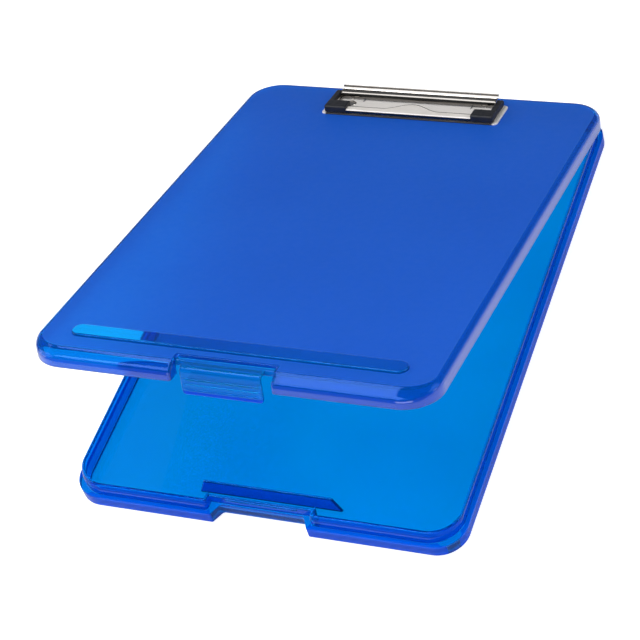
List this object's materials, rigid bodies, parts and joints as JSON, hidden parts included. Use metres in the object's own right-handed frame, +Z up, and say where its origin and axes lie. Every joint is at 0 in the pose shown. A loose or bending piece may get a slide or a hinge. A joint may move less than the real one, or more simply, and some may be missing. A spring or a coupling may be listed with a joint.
{
  "type": "storage clipboard",
  "caption": "Translucent storage clipboard: shallow tray, hinged writing lid with snap latch flap, and a low sprung paper clip with rolled lever and rubber corner pads.",
  "frame": {"origin": "centre of the tray's flat underside", "axes": "+Y from the latch edge towards the hinge, +Z up from the underside, +X to the right as seen from the latch edge"},
  "size_m": [0.236, 0.3379, 0.115],
  "materials": {
    "tray_plastic": "clear translucent blue, polished",
    "lid_plastic": "translucent blue, frosted writing face with polished edges",
    "nickel": "bright nickel plate",
    "pin_steel": "drawn wire, satin",
    "pad_rubber": "matte moulded rubber"
  },
  "bodies": {
    "tray": {"base_tray": "tray_plastic", "hinge_pin_left": "pin_steel", "hinge_pin_right": "pin_steel"},
    "lid": {"lid_shell": "lid_plastic", "clip_base_plate": "nickel", "clip_rivet_left": "nickel", "clip_rivet_right": "nickel", "rivet_washer_left": "nickel", "rivet_washer_right": "nickel", "clip_pivot_rod": "pin_steel", "clip_spring_left": "pin_steel", "clip_spring_right": "pin_steel"},
    "latch": {"latch_flap": "tray_plastic"},
    "jaw": {"clip_jaw": "nickel", "corner_pad_left": "pad_rubber", "corner_pad_right": "pad_rubber"}
  },
  "joints": [
    {"name": "lid_hinge", "type": "hinge", "parent": "tray", "child": "lid", "pos_m": [0, 0.1695, 0.0085], "axis": [-1, 0, 0], "range_deg": [-17, 128]},
    {"name": "latch_pivot", "type": "hinge", "parent": "lid", "child": "latch", "pos_m": [0, -0.13914, 0.1106], "axis": [-1, 0, 0], "range_deg": [0, 85]},
    {"name": "clip_jaw_pivot", "type": "hinge", "parent": "lid", "child": "jaw", "pos_m": [0, 0.15292, 0.02779], "axis": [-1, 0, 0], "range_deg": [0, 32], "stiffness_Nm_per_rad": 0.18, "springref_deg": -40.11, "deforming": ["clip_spring_left", "clip_spring_right"]}
  ]
}
